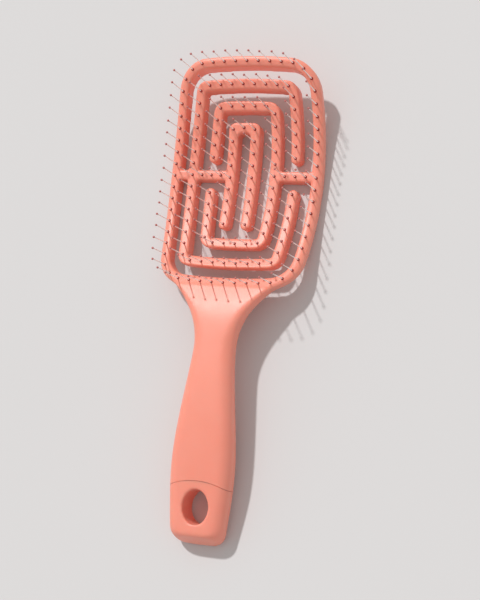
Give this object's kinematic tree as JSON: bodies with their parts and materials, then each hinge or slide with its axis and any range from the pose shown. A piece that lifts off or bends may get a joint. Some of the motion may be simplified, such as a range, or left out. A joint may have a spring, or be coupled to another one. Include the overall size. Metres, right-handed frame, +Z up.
{
  "type": "detangling brush",
  "caption": "Vented detangling hair brush with a bowed rectangular head, springy maze ribs, ball-tipped pins, a waisted handle and an end cap with a hang hole.",
  "frame": {"origin": "middle of the bounding box, on the surface that the brush lies on with its pins up", "axes": "+X across the head, +Y from the handle to the top of the head, +Z up, within five degrees of the way the pins point"},
  "size_m": [0.0794, 0.237, 0.0396],
  "materials": {
    "body": "satin coral moulding",
    "cap": "satin coral moulding",
    "arms": "satin coral moulding",
    "pins": "satin coral moulding"
  },
  "bodies": {
    "body": {"brush_body": "body", "end_cap": "cap", "rim_pins": "pins"},
    "left_upper": {"left_upper_arm": "arms", "left_upper_pins": "pins"},
    "left_lower": {"left_lower_arm": "arms", "left_lower_pins": "pins"},
    "right_upper": {"right_upper_arm": "arms", "right_upper_pins": "pins"},
    "right_lower": {"right_lower_arm": "arms", "right_lower_pins": "pins"},
    "core": {"core_arm": "arms", "core_pins": "pins"}
  },
  "joints": [
    {"name": "left_upper_flex", "type": "hinge", "parent": "body", "child": "left_upper", "pos_m": [0, 0.06223, 0.00378], "axis": [1, 0, 0], "range_deg": [-10, 5], "stiffness_Nm_per_rad": 0.15},
    {"name": "left_lower_flex", "type": "hinge", "parent": "body", "child": "left_lower", "pos_m": [0, 0.06223, 0.00378], "axis": [-1, 0, 0], "range_deg": [-10, 5], "stiffness_Nm_per_rad": 0.15},
    {"name": "right_upper_flex", "type": "hinge", "parent": "body", "child": "right_upper", "pos_m": [0, 0.06223, 0.00378], "axis": [1, 0, 0], "range_deg": [-10, 5], "stiffness_Nm_per_rad": 0.15},
    {"name": "right_lower_flex", "type": "hinge", "parent": "body", "child": "right_lower", "pos_m": [0, 0.06223, 0.00378], "axis": [-1, 0, 0], "range_deg": [-10, 5], "stiffness_Nm_per_rad": 0.15},
    {"name": "core_twist", "type": "hinge", "parent": "body", "child": "core", "pos_m": [0, 0.06223, 0.00378], "axis": [1, 0, 0], "range_deg": [-8, 8], "stiffness_Nm_per_rad": 0.15}
  ]
}
